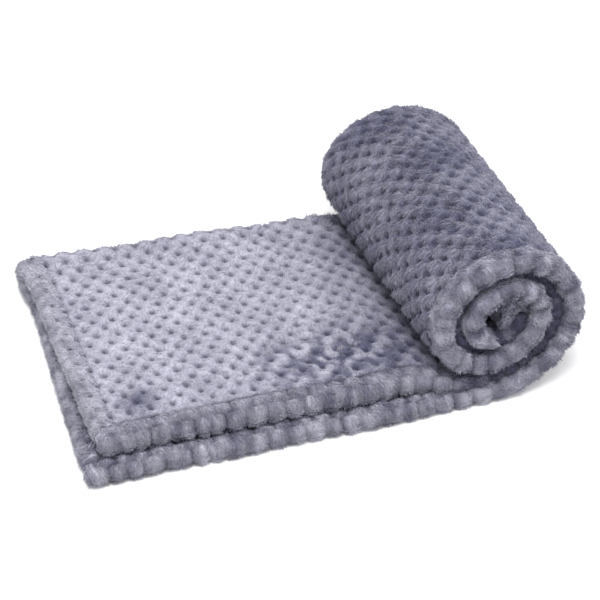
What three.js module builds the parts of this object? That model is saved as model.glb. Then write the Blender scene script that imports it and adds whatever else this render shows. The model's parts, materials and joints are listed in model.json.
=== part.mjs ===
// A plush throw folded in half along its length, with one end rolled up on top of the flat rest.
// X runs along the flat part towards the roll, Y along the roll to the back fold, +Z is up. Millimetres.
// The origin is the middle of the footprint, on the surface that the throw lies on.
import * as THREE from 'three';

// Overall layout
const FOLDED_WIDTH = 300;        // near hems to the back fold
const FLAT_LENGTH = 376;         // free end to the point under the roll's axis
const FOOT_LENGTH = 91;          // from the roll's axis back to the line where the free end lifts
const GAP = 0.3;                 // clearance between pieces that lie against each other

// Cloth
const LEAF_LOFT = 13.5;          // one leaf of plush, pile on both faces
const HEM_WIDTH = 20;
const HEM_LOFT = 20;
const HEM_GAP = 1;               // between the two leaves' hems, which lie one on the other
const HEM_CORNER = 7;            // rounding of a hem's section
const UPPER_SETBACK_Y = 8;       // the upper leaf's near edge lies this far behind the lower one
const UPPER_SKEW_X = 25;         // and its free end this far back at the near corner
const FOLD_STRAIGHT = 1.5;       // flat stretch of each leaf before it turns round the back fold
const FOLD_HEM_LOFT = 17;        // the end hem where it goes round the back fold
const THREAD = 1;                // seam thread

// Roll: a spiral whose outside starts under the axis and climbs on the side away from the free end
const ROLL_RADIUS = 88;          // axis to the outside, where the spiral starts
const ROLL_LEAF_GAP = 1;         // between one leaf and the next in the roll
const ROLL_HEM_GAP = 0.8;        // between one hem and the next in the roll
const ROLL_FLATNESS = 0.941;     // height against width, because the roll sags under its weight
const ROLL_LOWER_HEM_LOFT = 17;
const INNER_HEM_TURNS = 0.11;    // turns that the inner end hem takes
const THREAD_TURNS = 0.006;
const SLIT_TURNS = 0.002;        // clearance between pieces that follow each other along the spiral
const CORE_RADIUS = 15;          // the curled inner end of the upper leaf
const CORE_SHIFT = 5.8;          // from the roll's axis towards the end of the upper leaf
const CORE_GAP = 0.4;
const STEPS_PER_TURN = 40;
const FOOT_STEPS = 12;
const FOOT_SETTLED = 0.84;       // share of the foot after which its layers lie as close as in the roll

const STACK_HEIGHT = 2 * HEM_LOFT + HEM_GAP;
const FOLD_DEPTH = STACK_HEIGHT / 2 + FOLD_STRAIGHT;
const ROLL_PITCH = 2 * (LEAF_LOFT + ROLL_LEAF_GAP);
const AXIS_X = FLAT_LENGTH;
const AXIS_Z = ROLL_RADIUS * ROLL_FLATNESS;
const ROLL_RIGHT = AXIS_X + ROLL_RADIUS - ROLL_PITCH / 4;
const BACK_Y = FOLDED_WIDTH;
const FOLD_Y = BACK_Y - FOLD_DEPTH;
const HEM_PLUS_SEAM = HEM_WIDTH + THREAD + 2 * GAP;
const UPPER_HEM_Y = UPPER_SETBACK_Y + HEM_WIDTH;
const UPPER_PANEL_Y = UPPER_SETBACK_Y + HEM_PLUS_SEAM;
const CREASE_X = AXIS_X - FOOT_LENGTH;
const CREASE_LEFT = CREASE_X - GAP / 2;
const CREASE_RIGHT = CREASE_X + GAP / 2;
const ROLL_UPPER_START = LEAF_LOFT + ROLL_LEAF_GAP;
const ROLL_UPPER_END = ROLL_UPPER_START + LEAF_LOFT;
const ROLL_UPPER_HEM_START = ROLL_LOWER_HEM_LOFT + ROLL_HEM_GAP;
const ROLL_UPPER_HEM_END = ROLL_PITCH - ROLL_HEM_GAP;

// Turns that each layer takes, from where the spiral starts to where its inner end has to stop
const CORE_ROOM = (CORE_RADIUS + CORE_SHIFT) / ROLL_FLATNESS + CORE_GAP;
const END_TURNS = INNER_HEM_TURNS + THREAD_TURNS + 2 * SLIT_TURNS;
const LOWER_TURNS = (ROLL_RADIUS - ROLL_LOWER_HEM_LOFT - CORE_ROOM) / ROLL_PITCH - END_TURNS;
const UPPER_TURNS = (ROLL_RADIUS - ROLL_UPPER_END - CORE_ROOM) / ROLL_PITCH;
const FOLD_TURNS = LOWER_TURNS;

const throwBlanket = new THREE.Group();
const cloth = new THREE.Group();
cloth.position.set(-ROLL_RIGHT / 2, -FOLDED_WIDTH / 2, 0);
throwBlanket.add(cloth);

function fleece(shade) {
  return new THREE.MeshStandardMaterial({ color: shade, roughness: 0.95, metalness: 0 });
}

function sewingThread() {
  return new THREE.MeshStandardMaterial({ color: 0x5d5f74, roughness: 0.8, metalness: 0 });
}

const PANEL_SHADE = 0xa9aabc;
const FOLD_SHADE = 0x9a9bb0;
const HEM_SHADE = 0x8789a0;

function addPiece(name, geometry, material) {
  const piece = new THREE.Mesh(geometry, material);
  piece.name = name;
  cloth.add(piece);
  return piece;
}

// A side view drawn in X and Z, drawn out along Y from fromY to toY.
function addAcross(name, sideView, fromY, toY, material) {
  const geometry = new THREE.ExtrudeGeometry(sideView, { depth: toY - fromY, bevelEnabled: false });
  const piece = addPiece(name, geometry, material);
  piece.rotation.x = Math.PI / 2;
  piece.position.y = toY;
}

// An end view drawn in Y and Z, drawn out along X from fromX to toX.
function addAlong(name, endView, fromX, toX, material) {
  const settings = { depth: toX - fromX, bevelEnabled: false, curveSegments: 12 };
  const piece = addPiece(name, new THREE.ExtrudeGeometry(endView, settings), material);
  piece.rotation.set(Math.PI / 2, Math.PI / 2, 0);
  piece.position.x = fromX;
}

// A plan drawn in X and Y, drawn up from fromZ to toZ.
function addUpward(name, plan, fromZ, toZ, material) {
  const geometry = new THREE.ExtrudeGeometry(plan, { depth: toZ - fromZ, bevelEnabled: false });
  const piece = addPiece(name, geometry, material);
  piece.position.z = fromZ;
}

function outline(points) {
  return new THREE.Shape(points.map(([across, up]) => new THREE.Vector2(across, up)));
}

function rectangle(left, right, bottom, top) {
  return outline([[left, bottom], [right, bottom], [right, top], [left, top]]);
}

function roundedSection(left, right, bottom, top, corner) {
  const section = new THREE.Shape();
  section.absarc(left + corner, bottom + corner, corner, Math.PI, 1.5 * Math.PI);
  section.absarc(right - corner, bottom + corner, corner, 1.5 * Math.PI, 2 * Math.PI);
  section.absarc(right - corner, top - corner, corner, 0, 0.5 * Math.PI);
  section.absarc(left + corner, top - corner, corner, 0.5 * Math.PI, Math.PI);
  section.closePath();
  return section;
}

// The back fold's end view: a leaf that comes in at the bottom, turns round and goes back at the top.
function foldSection(loft) {
  const outside = STACK_HEIGHT / 2;
  const inside = outside - loft;
  const turnY = BACK_Y - outside;
  const section = new THREE.Shape();
  section.moveTo(FOLD_Y, 0);
  section.absarc(turnY, outside, outside, -0.5 * Math.PI, 0.5 * Math.PI);
  section.lineTo(FOLD_Y, STACK_HEIGHT);
  section.lineTo(FOLD_Y, STACK_HEIGHT - loft);
  section.absarc(turnY, outside, inside, 0.5 * Math.PI, -0.5 * Math.PI, true);
  section.lineTo(FOLD_Y, loft);
  section.closePath();
  return section;
}

// Free end of the upper leaf: level with the lower one at the fold, set back at the near corner.
function upperEndX(y) {
  return UPPER_SKEW_X * (BACK_Y - y) / BACK_Y;
}

// Plan of a strip beside the upper leaf's slanted free end, between two distances from that end.
function slantedStrip(fromEnd, toEnd, fromY, toY) {
  return outline([
    [upperEndX(fromY) + fromEnd, fromY],
    [upperEndX(fromY) + toEnd, fromY],
    [upperEndX(toY) + toEnd, toY],
    [upperEndX(toY) + fromEnd, toY],
  ]);
}

// The spiral starts straight under the axis.
function spiralAngle(turns) {
  return 2 * Math.PI * turns - Math.PI / 2;
}

// A point of the spiral, so many turns from its start and so deep inside its outer face.
function spiralPoint(turns, depth) {
  const radius = ROLL_RADIUS - ROLL_PITCH * turns - depth;
  const angle = spiralAngle(turns);
  return [AXIS_X + radius * Math.cos(angle), AXIS_Z + ROLL_FLATNESS * radius * Math.sin(angle)];
}

// Side view of a band that follows the spiral between two depths.
function spiralBand(fromTurns, toTurns, fromDepth, toDepth) {
  const steps = Math.max(2, Math.ceil((toTurns - fromTurns) * STEPS_PER_TURN));
  const outer = [];
  const inner = [];
  for (let step = 0; step <= steps; step++) {
    const turns = fromTurns + (toTurns - fromTurns) * step / steps;
    outer.push(spiralPoint(turns, fromDepth));
    inner.unshift(spiralPoint(turns, toDepth));
  }
  return outline(outer.concat(inner));
}

// Side view of a layer that leads from the flat stack to the start of the spiral.
function footBand(flatBottom, flatTop, rollBottom, rollTop) {
  const endX = AXIS_X - GAP;
  const bottom = [];
  const top = [];
  for (let step = 0; step <= FOOT_STEPS; step++) {
    const share = step / FOOT_STEPS;
    const settled = Math.min(1, share / FOOT_SETTLED);
    const ease = settled * settled * (3 - 2 * settled);
    const x = CREASE_RIGHT + (endX - CREASE_RIGHT) * share;
    bottom.push([x, flatBottom + (rollBottom * ROLL_FLATNESS - flatBottom) * ease]);
    top.unshift([x, flatTop + (rollTop * ROLL_FLATNESS - flatTop) * ease]);
  }
  return outline(bottom.concat(top));
}

function buildLowerLeafFreeEnd() {
  const panel = rectangle(HEM_PLUS_SEAM, CREASE_LEFT, HEM_PLUS_SEAM, FOLD_Y - GAP);
  addUpward('lower_leaf_free_end', panel, 0, LEAF_LOFT, fleece(PANEL_SHADE));
  const hemSection = roundedSection(0, HEM_WIDTH, 0, HEM_LOFT, HEM_CORNER);
  addAlong('lower_side_hem_free_end', hemSection, 0, CREASE_LEFT, fleece(HEM_SHADE));
  addAcross('lower_end_hem', hemSection, HEM_WIDTH + GAP, FOLD_Y - GAP, fleece(HEM_SHADE));
  const threadTop = LEAF_LOFT - GAP;
  const threadSection = rectangle(HEM_WIDTH + GAP, HEM_WIDTH + GAP + THREAD, threadTop - THREAD, threadTop);
  addAlong('lower_side_seam_thread_free_end', threadSection, HEM_WIDTH + GAP, CREASE_LEFT, sewingThread());
  addAcross('lower_end_seam_thread', threadSection, HEM_PLUS_SEAM, FOLD_Y - GAP, sewingThread());
}

function buildUpperLeafFreeEnd() {
  const panel = outline([
    [upperEndX(UPPER_PANEL_Y) + HEM_PLUS_SEAM, UPPER_PANEL_Y],
    [CREASE_LEFT, UPPER_PANEL_Y],
    [CREASE_LEFT, FOLD_Y - GAP],
    [upperEndX(FOLD_Y - GAP) + HEM_PLUS_SEAM, FOLD_Y - GAP],
  ]);
  addUpward('upper_leaf_free_end', panel, STACK_HEIGHT - LEAF_LOFT, STACK_HEIGHT, fleece(PANEL_SHADE));
  const hemBottom = STACK_HEIGHT - HEM_LOFT;
  const sideHem = roundedSection(UPPER_SETBACK_Y, UPPER_HEM_Y, hemBottom, STACK_HEIGHT, HEM_CORNER);
  const sideHemStart = upperEndX(UPPER_SETBACK_Y) + HEM_WIDTH + GAP;
  addAlong('upper_side_hem_free_end', sideHem, sideHemStart, CREASE_LEFT, fleece(HEM_SHADE));
  const endHem = slantedStrip(0, HEM_WIDTH, UPPER_SETBACK_Y, FOLD_Y - GAP);
  addUpward('upper_end_hem', endHem, hemBottom, STACK_HEIGHT, fleece(HEM_SHADE));
  const threadTop = STACK_HEIGHT - GAP;
  const sideThread = rectangle(UPPER_HEM_Y + GAP, UPPER_HEM_Y + GAP + THREAD, threadTop - THREAD, threadTop);
  addAlong('upper_side_seam_thread_free_end', sideThread, sideHemStart, CREASE_LEFT, sewingThread());
  const endThread = slantedStrip(HEM_WIDTH + GAP, HEM_WIDTH + GAP + THREAD, UPPER_PANEL_Y, FOLD_Y - GAP);
  addUpward('upper_end_seam_thread', endThread, threadTop - THREAD, threadTop, sewingThread());
}

function buildBackFoldFreeEnd() {
  const foldStart = HEM_WIDTH + GAP;
  addAlong('back_fold_free_end', foldSection(LEAF_LOFT), foldStart, CREASE_LEFT, fleece(FOLD_SHADE));
  addAlong('back_fold_end_hem', foldSection(FOLD_HEM_LOFT), 0, HEM_WIDTH, fleece(HEM_SHADE));
}

function buildRollFoot() {
  const lowerPanel = footBand(0, LEAF_LOFT, 0, LEAF_LOFT);
  addAcross('lower_leaf_roll_foot', lowerPanel, HEM_PLUS_SEAM, FOLD_Y - GAP, fleece(PANEL_SHADE));
  const lowerHem = footBand(0, HEM_LOFT, 0, ROLL_LOWER_HEM_LOFT);
  addAcross('lower_side_hem_roll_foot', lowerHem, 0, HEM_WIDTH, fleece(HEM_SHADE));
  const upperPanel = footBand(STACK_HEIGHT - LEAF_LOFT, STACK_HEIGHT, ROLL_UPPER_START, ROLL_UPPER_END);
  addAcross('upper_leaf_roll_foot', upperPanel, UPPER_PANEL_Y, FOLD_Y - GAP, fleece(PANEL_SHADE));
  const upperHem = footBand(STACK_HEIGHT - HEM_LOFT, STACK_HEIGHT, ROLL_UPPER_HEM_START, ROLL_UPPER_HEM_END);
  addAcross('upper_side_hem_roll_foot', upperHem, UPPER_SETBACK_Y, UPPER_HEM_Y, fleece(HEM_SHADE));
  const fold = footBand(0, STACK_HEIGHT, 0, ROLL_UPPER_END);
  addAcross('back_fold_roll_foot', fold, FOLD_Y, BACK_Y, fleece(FOLD_SHADE));
}

function buildLowerLeafRoll() {
  const panel = spiralBand(0, LOWER_TURNS, 0, LEAF_LOFT);
  addAcross('lower_leaf_roll', panel, HEM_PLUS_SEAM, FOLD_Y - GAP, fleece(PANEL_SHADE));
  const hem = spiralBand(0, LOWER_TURNS, 0, ROLL_LOWER_HEM_LOFT);
  addAcross('lower_side_hem_roll', hem, 0, HEM_WIDTH, fleece(HEM_SHADE));
  const threadDepth = LEAF_LOFT - GAP - THREAD;
  const sideThread = spiralBand(0, LOWER_TURNS, threadDepth, threadDepth + THREAD);
  const threadY = HEM_WIDTH + GAP;
  addAcross('lower_side_seam_thread_roll', sideThread, threadY, threadY + THREAD, sewingThread());
  const threadStart = LOWER_TURNS + SLIT_TURNS;
  const threadEnd = threadStart + THREAD_TURNS;
  const endThread = spiralBand(threadStart, threadEnd, THREAD, 2 * THREAD);
  addAcross('lower_inner_end_seam_thread', endThread, HEM_PLUS_SEAM, FOLD_Y - GAP, sewingThread());
  const hemStart = threadEnd + SLIT_TURNS;
  const endHem = spiralBand(hemStart, hemStart + INNER_HEM_TURNS, 0, ROLL_LOWER_HEM_LOFT);
  addAcross('lower_inner_end_hem', endHem, 0, FOLD_Y - GAP, fleece(HEM_SHADE));
}

function buildUpperLeafRoll() {
  const panel = spiralBand(0, UPPER_TURNS, ROLL_UPPER_START, ROLL_UPPER_END);
  addAcross('upper_leaf_roll', panel, UPPER_PANEL_Y, FOLD_Y - GAP, fleece(PANEL_SHADE));
  const hem = spiralBand(0, UPPER_TURNS, ROLL_UPPER_HEM_START, ROLL_UPPER_HEM_END);
  addAcross('upper_side_hem_roll', hem, UPPER_SETBACK_Y, UPPER_HEM_Y, fleece(HEM_SHADE));
  const sideThread = spiralBand(0, UPPER_TURNS, ROLL_UPPER_HEM_START, ROLL_UPPER_HEM_START + THREAD);
  const threadY = UPPER_HEM_Y + GAP;
  addAcross('upper_side_seam_thread_roll', sideThread, threadY, threadY + THREAD, sewingThread());
  const threadStart = UPPER_TURNS + SLIT_TURNS;
  const endThread = spiralBand(threadStart, threadStart + THREAD_TURNS,
    ROLL_UPPER_START + THREAD, ROLL_UPPER_START + 2 * THREAD);
  addAcross('upper_inner_end_seam_thread', endThread, UPPER_PANEL_Y, FOLD_Y - GAP, sewingThread());
}

// The upper leaf's inner end hem, curled up in the middle of the roll.
function buildRollCore() {
  const length = FOLD_Y - GAP - UPPER_SETBACK_Y;
  const core = addPiece('upper_inner_end_hem',
    new THREE.CylinderGeometry(CORE_RADIUS, CORE_RADIUS, length, 24), fleece(HEM_SHADE));
  const angle = spiralAngle(UPPER_TURNS);
  const x = AXIS_X + CORE_SHIFT * Math.cos(angle);
  core.position.set(x, UPPER_SETBACK_Y + length / 2, AXIS_Z + CORE_SHIFT * Math.sin(angle));
}

function buildBackFoldRoll() {
  const fold = spiralBand(0, FOLD_TURNS, 0, ROLL_UPPER_END);
  addAcross('back_fold_roll', fold, FOLD_Y, BACK_Y, fleece(FOLD_SHADE));
  const hemStart = FOLD_TURNS + SLIT_TURNS;
  const hem = spiralBand(hemStart, hemStart + INNER_HEM_TURNS, 0, ROLL_UPPER_END);
  addAcross('back_fold_inner_end_hem', hem, FOLD_Y, BACK_Y, fleece(HEM_SHADE));
}

buildLowerLeafFreeEnd();
buildUpperLeafFreeEnd();
buildBackFoldFreeEnd();
buildRollFoot();
buildLowerLeafRoll();
buildUpperLeafRoll();
buildRollCore();
buildBackFoldRoll();

export default throwBlanket;
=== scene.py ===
# A plush throw, folded in half along its length and rolled up from one end, around its fixed frame.
import json
import math

import bmesh
import bpy
import numpy as np
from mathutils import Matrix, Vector


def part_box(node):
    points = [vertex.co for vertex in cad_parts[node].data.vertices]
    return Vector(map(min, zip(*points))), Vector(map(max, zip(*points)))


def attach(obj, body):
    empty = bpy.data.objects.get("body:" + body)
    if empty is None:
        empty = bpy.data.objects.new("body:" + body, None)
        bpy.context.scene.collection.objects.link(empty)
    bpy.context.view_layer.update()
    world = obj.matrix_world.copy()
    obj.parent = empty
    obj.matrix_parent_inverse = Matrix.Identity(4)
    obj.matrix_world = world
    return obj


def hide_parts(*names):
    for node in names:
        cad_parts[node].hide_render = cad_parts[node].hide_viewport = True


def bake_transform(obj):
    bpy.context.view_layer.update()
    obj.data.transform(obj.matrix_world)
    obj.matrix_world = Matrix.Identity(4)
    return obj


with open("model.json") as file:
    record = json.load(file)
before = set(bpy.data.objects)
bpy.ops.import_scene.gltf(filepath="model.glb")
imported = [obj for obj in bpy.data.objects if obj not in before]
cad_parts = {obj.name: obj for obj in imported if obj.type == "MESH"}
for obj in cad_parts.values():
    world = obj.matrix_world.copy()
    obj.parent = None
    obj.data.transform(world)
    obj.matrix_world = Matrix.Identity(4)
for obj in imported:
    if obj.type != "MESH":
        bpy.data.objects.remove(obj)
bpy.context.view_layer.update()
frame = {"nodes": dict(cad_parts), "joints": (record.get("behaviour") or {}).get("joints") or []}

MM = 0.001
TURN = 2 * math.pi


def low(node):
    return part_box(node)[0]


def high(node):
    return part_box(node)[1]


# Sizes and places read from the frame
FREE_X = low("lower_side_hem_free_end")[0]
NEAR_Y = low("lower_side_hem_free_end")[1]
BACK_Y = high("back_fold_roll")[1]
WIDTH = BACK_Y - NEAR_Y
CREASE_X = frame["joints"][0]["pos_m"][0]
AXIS_X = high("lower_leaf_roll_foot")[0]
LEAF_LOFT = high("lower_leaf_free_end")[2]
HEM_LOFT = high("lower_side_hem_free_end")[2]
HEM_WIDTH = high("lower_side_hem_free_end")[1] - NEAR_Y
STACK = high("upper_leaf_free_end")[2]
UPPER_SETBACK = low("upper_side_hem_free_end")[1] - NEAR_Y
UPPER_SKEW = low("upper_side_hem_free_end")[0] - FREE_X - HEM_WIDTH
ROLL_RIGHT = high("lower_leaf_roll")[0] - AXIS_X
ROLL_LEFT = AXIS_X - low("lower_leaf_roll")[0]
ROLL_PITCH = 2 * (ROLL_RIGHT - ROLL_LEFT)
ROLL_RADIUS = (ROLL_RIGHT + ROLL_LEFT + ROLL_PITCH) / 2
ROLL_FLATNESS = high("lower_leaf_roll")[2] / (2 * ROLL_RADIUS - ROLL_PITCH / 2)
AXIS_Z = ROLL_RADIUS * ROLL_FLATNESS
ROLL_STACK = ROLL_PITCH * ROLL_FLATNESS
FOOT_START = CREASE_X - FREE_X
FOOT_END = AXIS_X - FREE_X

# How finely the cloth is divided, and over what step its slope is measured
GRID = 2.3 * MM
HEM_GRID = 1.9 * MM
HEM_ROWS = 16
SLOPE_STEP = 0.6 * MM
FUR_SLOPE_STEP = 0.8 * MM

# Waves that make it uneven
RIPPLE_WAVES = 5
RIPPLE_SHORTEST = 0.7
RIPPLE_SPREAD = 0.9
RIPPLE_SCALE = 3
STACK_SEED = 3
EDGE_SEED = 5
TUFT_SEED = 11
HEM_SEED = 13
SEAM_SEED = 16
NAP_SEED = 21
HEM_NAP_SEED = 31
CURL_NAP_SEED = 41

# The stack of two leaves, and how it settles on its way to the roll
STACK_SAG = 3 * MM
STACK_SWELL = 0.9 * MM
STACK_SWELL_LENGTH = 95 * MM
FOOT_SETTLED = 0.84
MID_DEPTH = ROLL_STACK / 2

# The roll: turns of each layer, wider at its far end, its near end a little off the floor
LOWER_TURNS = 1.96
UPPER_TURNS = 1.2
FOLD_TURNS = 1.45
ROLL_LEFT_TAPER = 0.14
ROLL_LEFT_NARROWING = 0.02
ROLL_RIGHT_TAPER = 0.08
ROLL_RIGHT_NARROWING = 0.05
ROLL_SETTLING = 0.01
NEAR_LIFT = 4 * MM
NEAR_LIFT_REACH = 70 * MM
NEAR_LIFT_START = 60 * MM
NEAR_LIFT_RAMP = 90 * MM
INNER_SHIFT = 5 * MM
INNER_TURN_START = 0.8
INNER_TURN_END = 1.35
INNER_TURN_RAMP = 0.2

# The free end: the upper leaf lies a little askew, and its far corner stands up at the fold
UPPER_FROM_ARC = 0.35
SLANT_GIVEN = 7 * MM
END_PULL = 1 * MM
FOLD_REACH = 30 * MM
CORNER_PULL = 8 * MM
CORNER_REACH = 90 * MM
CORNER_OUT = 5 * MM
CORNER_LIFT = 7 * MM
CORNER_FADE = 0.7

# The near edge: it wanders, and the upper leaf draws back as it goes into the roll
NEAR_REACH = 80 * MM
EDGE_WANDER = 1.2 * MM
EDGE_WANDER_LENGTH = 130 * MM
UPPER_EDGE_OFFSET = 0.3
UPPER_RECESS = 11 * MM
UPPER_RECESS_START = 20 * MM
UPPER_RECESS_RAMP = 90 * MM
LOWER_REACH = 4 * MM
LOWER_REACH_RAMP = 80 * MM

# Tufts and the pits between them
TUFT_PITCH_ALONG = 19.4 * MM
TUFT_PITCH_ACROSS = 23.5 * MM
TUFT_WANDER = 1.3 * MM
TUFT_WANDER_ALONG = 60 * MM
TUFT_WANDER_ACROSS = 70 * MM
PIT_EDGE = 0.45
PIT_WIDENING = 0.25
PIT_SLOPE = 0.5
TUFT_RISE = 0.6 * MM
PIT_SINK = 2.6 * MM
ROLL_PIT_SINK = 1.6 * MM
VALLEY_SINK = 1.5 * MM
ROLL_VALLEY_SINK = 1.0 * MM
RUBBED_VALLEY_SINK = 0.8 * MM
FOLD_ROLL_RELIEF = 0.55
FOLD_OVERLAP = 34 * MM
PAST_CREASE_RAMP = 40 * MM

# Turned hems and their bumps
HEM_TUCK = 4 * MM
HEM_ROUNDNESS = 2.3
HEM_ROUND_REACH = 10 * MM
SEAM_DIP = 2 * MM
SEAM_REACH = 7 * MM
SIDE_SEAM_SHARE = 0.72
END_SEAM_SHARE = 0.86
CUT_REACH = 8 * MM
CUT_SHARE = 0.05
ROLL_HEM_LOFT = 16.5 * MM
ROLL_UPPER_HEM_LOFT = 10.6 * MM
ROLL_HEM_SWELL = 2.5 * MM
ROLL_HEM_SWELL_TURN = 0.65
ROLL_HEM_SWELL_SPAN = 0.22
END_HEM_THINNING = 2.6 * MM
BUMP_PITCH = 0.9 * TUFT_PITCH_ALONG
BUMP_WANDER = 3.4 * MM
BUMP_WANDER_LENGTH = 42 * MM
BUMP_SIZE_LENGTH = 18 * MM
BUMP_CREASE = 0.34
BUMP_RISE = 1.4 * MM
BUMP_PUSH = 1.5 * MM
HEM_END_REACH = 11 * MM
HEM_END_SHARE = 0.1

# The curl of the upper leaf's inner end
CURL_LENGTH = 60 * MM
CURL_START_RADIUS = 13 * MM
CURL_END_RADIUS = 9 * MM
CURL_STEPS = 240
CURL_LEAN = 0.25
CURL_RIGHT = 8 * MM
CURL_UP = 2 * MM
CURL_RECESS = 9 * MM
CURL_PHASE_SHIFT = 20 * MM
CURL_HEM_SWELL = 3.5 * MM
CURL_HEM_START = 25 * MM
CURL_HEM_RAMP = 12 * MM

# The lie of the nap: how light it looks, painted as sheen and shade, and which way it is combed
FLAT_NAP_SHEEN = 0.70
ROLL_NAP_SHEEN = 0.25
HEM_NAP_SHEEN = 0.60
CURL_NAP_SHEEN = 0.42
NAP_TURN = 20 * MM
NAP_TURN_RAMP = 60 * MM
TOP_HEADING = 2.1
ROLL_HEADING = -0.75
OUTWARDS = -math.pi / 2

# Stitches and brushed pile
STITCH_PITCH = 5 * MM
STITCH_LENGTH = 1.9 * MM
STITCH_THICKNESS = 0.5 * MM
STITCH_PROUD = 0.3 * MM
PILE_PER_MM2 = 0.8
PILE_ROOT_DEPTH = 0.4 * MM
PILE_THINNEST = 0.38
PILE_THICKEST = 0.62


def smooth(x):
    x = np.clip(x, 0, 1)
    return x * x * (3 - 2 * x)


def bump_of(distance, reach):
    """1 at no distance, falling smoothly to 0 a little past the reach."""
    return np.exp(-(distance / reach) ** 2)


def ripple(x, y, wavelength, seed):
    """Gentle unevenness between about -1 and 1, from a few waves that run in seeded directions."""
    random = np.random.default_rng(seed)
    total = 0
    for heading, phase, stretch in random.uniform(0, 1, (RIPPLE_WAVES, 3)):
        along = x * math.cos(TURN * heading) + y * math.sin(TURN * heading)
        length = wavelength * (RIPPLE_SHORTEST + RIPPLE_SPREAD * stretch)
        total = total + np.sin(TURN * (along / length + phase))
    return total / RIPPLE_SCALE


def wound_length(turns, depth):
    """Length of cloth wound up at that depth inside the outer face of the roll."""
    squeeze = (1 + ROLL_FLATNESS) / 2
    return TURN * squeeze * ((ROLL_RADIUS - depth) * turns - ROLL_PITCH * turns ** 2 / 2)


def turns_wound(length, depth):
    reach = ROLL_RADIUS - depth
    per_turn = TURN * (1 + ROLL_FLATNESS) / 2
    return (reach - np.sqrt(np.maximum(reach ** 2 - 2 * ROLL_PITCH * length / per_turn, 0))) / ROLL_PITCH


def path_of_turns(turns):
    return FOOT_END + wound_length(turns, MID_DEPTH)


def stack_height(path, across):
    """Height of both leaves together: lofty where they lie flat, close under and in the roll."""
    settle = smooth((path - FOOT_START) / ((FOOT_END - FOOT_START) * FOOT_SETTLED))
    sag = STACK_SAG * np.sin(np.pi * np.clip(across / WIDTH, 0, 1)) ** 2
    swell = STACK_SWELL * ripple(path, across, STACK_SWELL_LENGTH, STACK_SEED)
    flat = STACK - sag + swell
    return flat + (ROLL_STACK - flat) * settle


def place(path, across, depth):
    """Place of a point, from how far along the path, behind the near edge and deep in the stack it is."""
    wound = np.maximum(path - FOOT_END, 0)
    turns = turns_wound(wound, MID_DEPTH)
    angle = TURN * turns - np.pi / 2
    radius = ROLL_RADIUS - ROLL_PITCH * turns
    out_x = ROLL_FLATNESS * np.cos(angle)
    out_z = np.sin(angle)
    norm = np.hypot(out_x, out_z)
    roll_x = AXIS_X + radius * np.cos(angle) - depth * out_x / norm
    roll_z = AXIS_Z + ROLL_FLATNESS * radius * np.sin(angle) - depth * out_z / norm
    in_roll = path > FOOT_END
    x = np.where(in_roll, roll_x, FREE_X + path)
    z = np.where(in_roll, roll_z, depth)
    return in_row(path, across, x, z, in_roll)


def in_row(path, across, x, z, in_roll):
    """Widens the roll towards its far end and lifts its near end a little off the floor."""
    share = across / WIDTH
    left = ROLL_LEFT_TAPER * share - ROLL_LEFT_NARROWING
    right = ROLL_RIGHT_TAPER * share - ROLL_RIGHT_NARROWING
    x = x + (x - AXIS_X) * np.where(x < AXIS_X, left, right) * in_roll
    z = z * (1 - ROLL_SETTLING * np.clip(z / AXIS_Z, 0, 1) * in_roll)
    near_lift = NEAR_LIFT * np.clip(1 - across / NEAR_LIFT_REACH, 0, 1) ** 2
    z = z + near_lift * smooth((path - FOOT_START - NEAR_LIFT_START) / NEAR_LIFT_RAMP)
    return np.stack([x, NEAR_Y + across, z], -1)


def fold_rise(path, across, half):
    return stack_height(path, across) / 2 - half


def near_share(across):
    """1 at the near edge, falling to 0 some way behind it."""
    return np.clip(1 - across / NEAR_REACH, 0, 1)


def shape_free_end(point, path, across, upper):
    """Lays the upper leaf's free end askew, and draws in, pushes out and lifts the corner by the fold."""
    flat = np.clip(1 - path / FOOT_START, 0, 1)
    behind = bump_of(WIDTH - across, FOLD_REACH)
    slant = (UPPER_SKEW - SLANT_GIVEN) * (1 - across / WIDTH) * upper - (1 + 2 * upper) * END_PULL
    corner = CORNER_PULL * behind * np.clip(1 - path / CORNER_REACH, 0, 1) ** 2
    point[..., 0] += slant * flat ** 2 - corner
    point[..., 1] += CORNER_OUT * behind * flat ** CORNER_FADE
    point[..., 2] += CORNER_LIFT * behind * upper * flat ** CORNER_FADE


def shape_near_edge(point, path, across, upper):
    """Lets the near edge wander, draws the upper leaf back in the roll and pushes the inner turn aside."""
    near = near_share(across)
    wander = ripple(path, upper * UPPER_EDGE_OFFSET, EDGE_WANDER_LENGTH, EDGE_SEED)
    point[..., 1] += EDGE_WANDER * wander * near
    recessed = smooth((path - FOOT_START - UPPER_RECESS_START) / UPPER_RECESS_RAMP)
    point[..., 1] += UPPER_RECESS * upper * near ** 2 * recessed
    point[..., 1] -= LOWER_REACH * (1 - upper) * near ** 2 * smooth((FOOT_END - path) / LOWER_REACH_RAMP)
    turns = turns_wound(np.maximum(path - FOOT_END, 0), MID_DEPTH)
    begun = smooth((turns - INNER_TURN_START) / INNER_TURN_RAMP)
    ended = smooth((turns - INNER_TURN_END) / INNER_TURN_RAMP)
    inner = near ** 2 * begun * (1 - ended)
    point[..., 2] += INNER_SHIFT * inner
    point[..., 0] -= INNER_SHIFT * inner


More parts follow.
